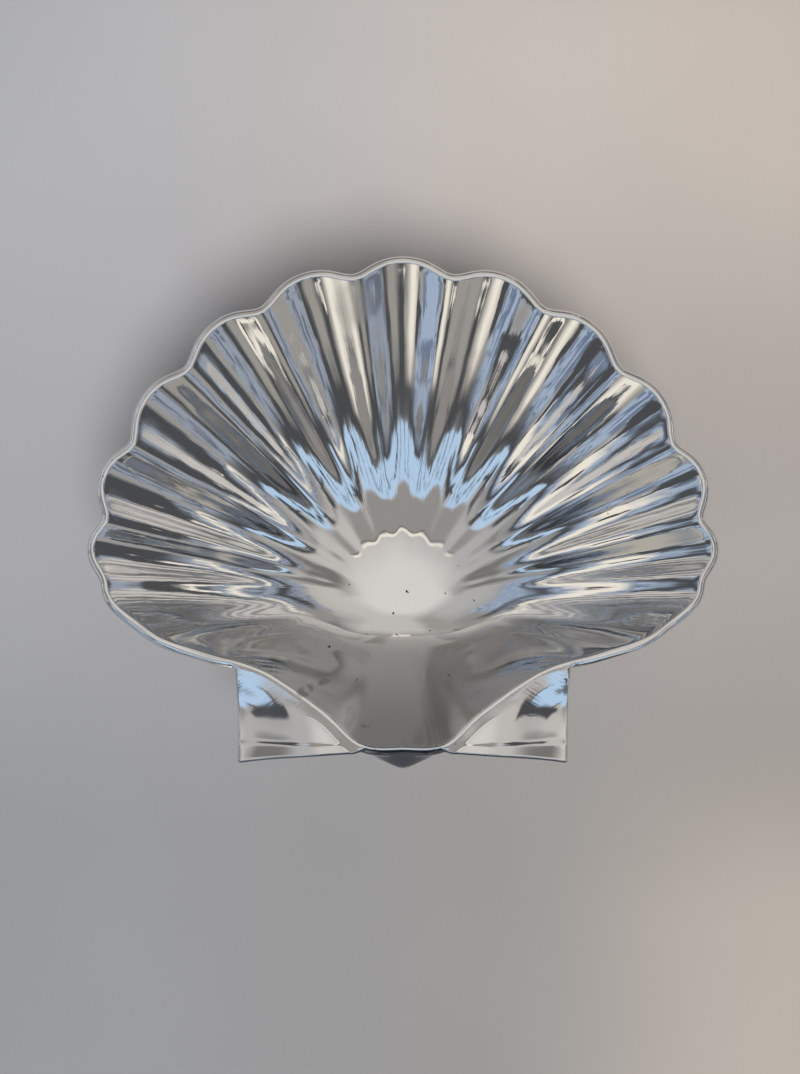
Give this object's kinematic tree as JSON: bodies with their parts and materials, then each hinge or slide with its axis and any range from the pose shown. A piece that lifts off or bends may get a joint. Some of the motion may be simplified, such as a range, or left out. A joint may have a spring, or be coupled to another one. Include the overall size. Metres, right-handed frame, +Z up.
{
  "type": "shell dish",
  "caption": "Scallop shell dish: a deep fluted bowl with a scalloped rim, flat ears and a small beak at the hinge, on turned feet.",
  "frame": {"origin": "on the table, under the middle of the dish's bounding box", "axes": "+X to the right across the fan, +Y from the hinge to the far edge of the fan, +Z up out of the bowl"},
  "size_m": [0.3014, 0.2478, 0.0964],
  "materials": {
    "polished_aluminium": "mirror polished sand casting with a few small pits",
    "turned_aluminium": "fine turned, satin",
    "fastener_steel": "plain stainless",
    "pad_rubber": "matt black"
  },
  "bodies": {
    "root": {"shell_dish": "polished_aluminium", "foot_rear": "turned_aluminium", "foot_front_right": "turned_aluminium", "foot_front_left": "turned_aluminium", "foot_pad_rear": "pad_rubber", "foot_pad_front_right": "pad_rubber", "foot_pad_front_left": "pad_rubber", "foot_screw_rear": "fastener_steel", "foot_screw_front_right": "fastener_steel", "foot_screw_front_left": "fastener_steel", "foot_washer_rear": "fastener_steel", "foot_washer_front_right": "fastener_steel", "foot_washer_front_left": "fastener_steel"}
  },
  "joints": []
}
